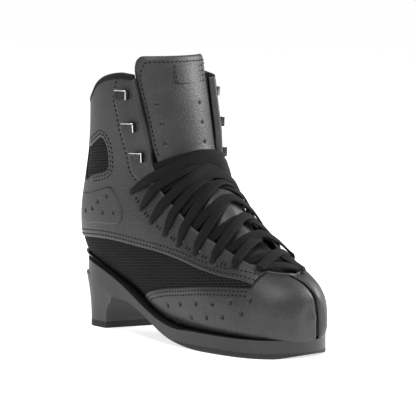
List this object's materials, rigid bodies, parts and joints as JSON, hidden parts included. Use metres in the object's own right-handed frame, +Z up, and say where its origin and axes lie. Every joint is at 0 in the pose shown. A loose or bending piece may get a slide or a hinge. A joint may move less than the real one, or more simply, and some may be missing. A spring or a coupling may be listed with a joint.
{
  "type": "figure skating boot",
  "caption": "Black lace-up figure-skating boot with heeled moulded sole, mesh side panels, padded collar, hooks, lacing and a hinged padded tongue; no blade.",
  "frame": {"origin": "centre of the boot's footprint box, on the plane that the heel and the sole stand on", "axes": "+Z up; the toe points to -Y; the outer (lateral) side of this right boot is towards -X"},
  "size_m": [0.1093, 0.2838, 0.247],
  "materials": {
    "eyelet_metal": "black-painted brass",
    "foam": "closed-cell foam",
    "footbed_foam": "textile-covered foam",
    "hook_metal": "black nickel with bright worn edges",
    "knit_mesh": "ribbed knit mesh, matt",
    "lace": "flat braided polyester, matt",
    "lining_fabric": "brushed textile, matt",
    "moulded_composite": "moulded fibre-filled nylon, satin",
    "rubber": "moulded rubber, matt",
    "stiffener_board": "pressed fibre board",
    "upper_leather": "fine-grained microfibre leather, satin"
  },
  "bodies": {
    "boot": {"ankle_mesh_lateral": "knit_mesh", "ankle_mesh_medial": "knit_mesh", "bottom_filler": "stiffener_board", "collar_binding": "lining_fabric", "eyelets_lateral": "eyelet_metal", "eyelets_medial": "eyelet_metal", "facing_stay_lateral": "stiffener_board", "facing_stay_medial": "stiffener_board", "footbed": "footbed_foam", "forefoot_outsole": "rubber", "heel_block": "moulded_composite", "heel_counter": "stiffener_board", "heel_patch_lateral": "upper_leather", "heel_patch_medial": "upper_leather", "heel_top_lift": "rubber", "hook_rivets_lateral": "hook_metal", "hook_rivets_medial": "hook_metal", "hooks_lateral": "hook_metal", "hooks_medial": "hook_metal", "insole_board": "stiffener_board", "interlining_lateral": "stiffener_board", "interlining_medial": "stiffener_board", "lace": "lace", "lining_lateral": "lining_fabric", "lining_medial": "lining_fabric", "quarter_lateral": "upper_leather", "quarter_medial": "upper_leather", "side_mesh_lateral": "knit_mesh", "side_mesh_medial": "knit_mesh", "sole_plate": "moulded_composite", "toe_groove_strip": "lining_fabric", "toe_puff": "stiffener_board", "toe_vamp_lateral": "upper_leather", "toe_vamp_medial": "upper_leather", "tongue_lower": "lining_fabric"},
    "tongue": {"tongue_cover": "upper_leather", "tongue_lace_loop": "upper_leather", "tongue_lining": "lining_fabric", "tongue_padding": "foam"}
  },
  "joints": [
    {"name": "tongue_flex", "type": "hinge", "parent": "boot", "child": "tongue", "pos_m": [0, 0.005, 0.15], "axis": [1, 0, 0], "range_deg": [-4, 38], "stiffness_Nm_per_rad": 0.6}
  ]
}
